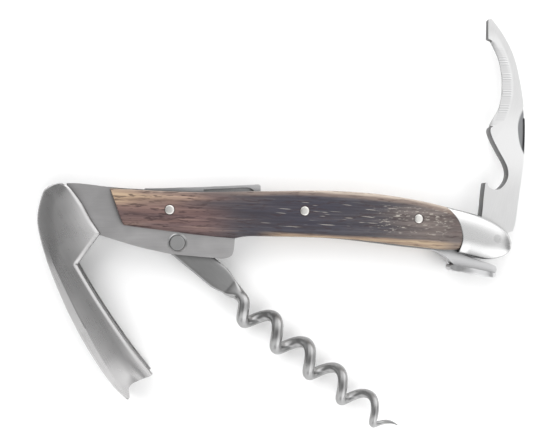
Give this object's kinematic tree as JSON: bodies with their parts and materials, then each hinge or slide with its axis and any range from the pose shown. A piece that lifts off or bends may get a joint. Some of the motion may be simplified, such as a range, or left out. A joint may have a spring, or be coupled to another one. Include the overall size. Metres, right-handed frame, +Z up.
{
  "type": "waiters corkscrew",
  "caption": "Single-lever waiter's corkscrew: wood-scaled handle, hinged U-channel lever, right-hand worm and a folding foil cutter with crown-cap mouth.",
  "frame": {"origin": "half way between the lever hinge and the blade hinge, on the plane that the tool rests on when it lies on its side", "axes": "+X from the lever hinge towards the blade hinge along the handle, +Y towards the handle's back, +Z up through the thickness"},
  "size_m": [0.1218, 0.1066, 0.012],
  "materials": {
    "scale_wood": "stained oak, satin",
    "matte_steel": "fine matte, bead blasted",
    "polished_steel": "polished",
    "lever_steel": "satin, formed sheet",
    "blade_steel": "light satin",
    "worm_steel": "satin wire",
    "spring_steel": "satin",
    "rivet_steel": "polished"
  },
  "bodies": {
    "handle": {"blade_hinge_pin": "polished_steel", "blade_spring": "spring_steel", "front_head_plate": "matte_steel", "front_liner": "spring_steel", "front_scale": "scale_wood", "front_tail_bolster": "polished_steel", "handle_rivets": "rivet_steel", "head_plate_pins": "spring_steel", "head_spacer": "spring_steel", "lever_hinge_pin": "spring_steel", "rear_head_plate": "matte_steel", "rear_liner": "spring_steel", "rear_scale": "scale_wood", "rear_tail_bolster": "polished_steel", "spring_end_plate": "spring_steel", "tail_bolster_pins": "spring_steel", "worm_hinge_pin": "matte_steel", "worm_pin_rings": "matte_steel", "worm_spring": "spring_steel"},
    "lever_arm": {"lever": "lever_steel"},
    "worm_arm": {"worm": "worm_steel"},
    "blade": {"foil_cutter": "blade_steel"}
  },
  "joints": [
    {"name": "lever_fold", "type": "hinge", "parent": "handle", "child": "lever_arm", "pos_m": [-0.053, 0, 0.006], "axis": [0, 0, 1], "range_deg": [-74, 52]},
    {"name": "worm_fold", "type": "hinge", "parent": "handle", "child": "worm_arm", "pos_m": [-0.02786, -0.0053, 0.006], "axis": [0, 0, 1], "range_deg": [-46.25, 32.5]},
    {"name": "blade_fold", "type": "hinge", "parent": "handle", "child": "blade", "pos_m": [0.053, 0, 0.006], "axis": [0, 0, 1], "range_deg": [-102, 78]}
  ],
  "couplings": [
    {"joint": "worm_fold", "follows": "lever_fold", "ratio": 0.625}
  ]
}
